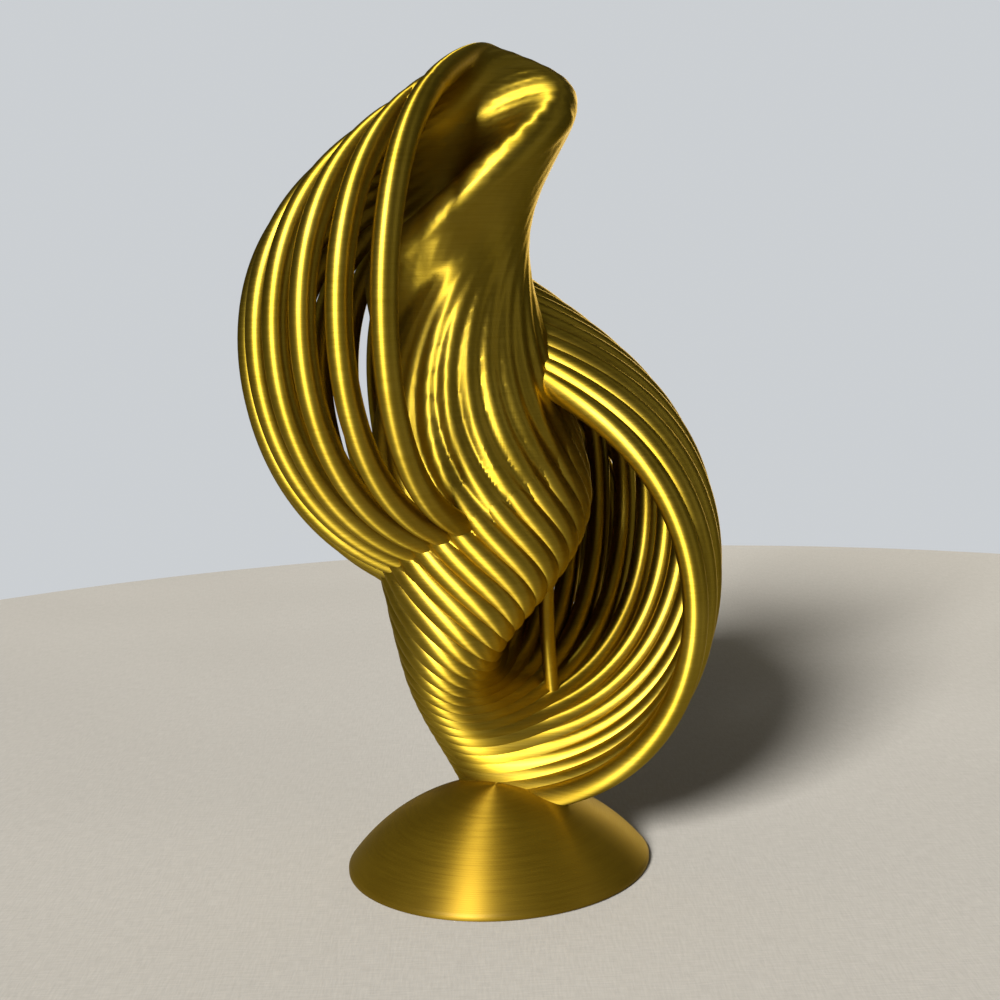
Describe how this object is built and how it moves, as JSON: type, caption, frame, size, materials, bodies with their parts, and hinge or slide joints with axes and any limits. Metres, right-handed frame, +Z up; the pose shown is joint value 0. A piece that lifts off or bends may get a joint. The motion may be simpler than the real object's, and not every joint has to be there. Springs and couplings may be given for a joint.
{
  "type": "abstract spiral sculpture",
  "caption": "Desk ornament of tubes looped side by side around a nearly upright axis, so that two open fans swirl past a ribbed spine above a low domed base.",
  "frame": {"origin": "middle of the base's flat underside, on the table", "axes": "+Z up, -Y towards the pictured front, +X to the right seen from the front"},
  "size_m": [0.0758, 0.0749, 0.1346],
  "materials": {
    "silk_gold": "silky satin sheen with fine layer lines"
  },
  "bodies": {
    "root": {"base": "silk_gold", "rim": "silk_gold", "strand_01": "silk_gold", "strand_02": "silk_gold", "strand_03": "silk_gold", "strand_04": "silk_gold", "strand_05": "silk_gold", "strand_06": "silk_gold", "strand_07": "silk_gold", "strand_07_rib": "silk_gold", "strand_08": "silk_gold", "strand_08_rib": "silk_gold", "strand_09": "silk_gold", "strand_09_rib": "silk_gold", "strand_10": "silk_gold", "strand_10_rib": "silk_gold", "strand_11": "silk_gold", "strand_11_rib": "silk_gold", "strand_12": "silk_gold", "strand_12_rib": "silk_gold", "strand_13": "silk_gold", "strand_13_rib": "silk_gold", "strand_14": "silk_gold", "strand_14_rib": "silk_gold", "strand_15": "silk_gold", "strand_15_rib": "silk_gold", "strand_16": "silk_gold", "strand_16_rib": "silk_gold", "strand_17": "silk_gold", "strand_17_rib": "silk_gold", "strand_18": "silk_gold", "strand_18_rib": "silk_gold", "strand_19": "silk_gold", "strand_19_rib": "silk_gold", "strand_20": "silk_gold", "strand_20_rib": "silk_gold", "strand_21": "silk_gold", "strand_22": "silk_gold", "strand_23": "silk_gold", "strand_24": "silk_gold", "strand_25": "silk_gold", "strand_26": "silk_gold", "strand_27": "silk_gold", "strand_28": "silk_gold", "strand_29": "silk_gold", "strand_30": "silk_gold"}
  },
  "joints": []
}
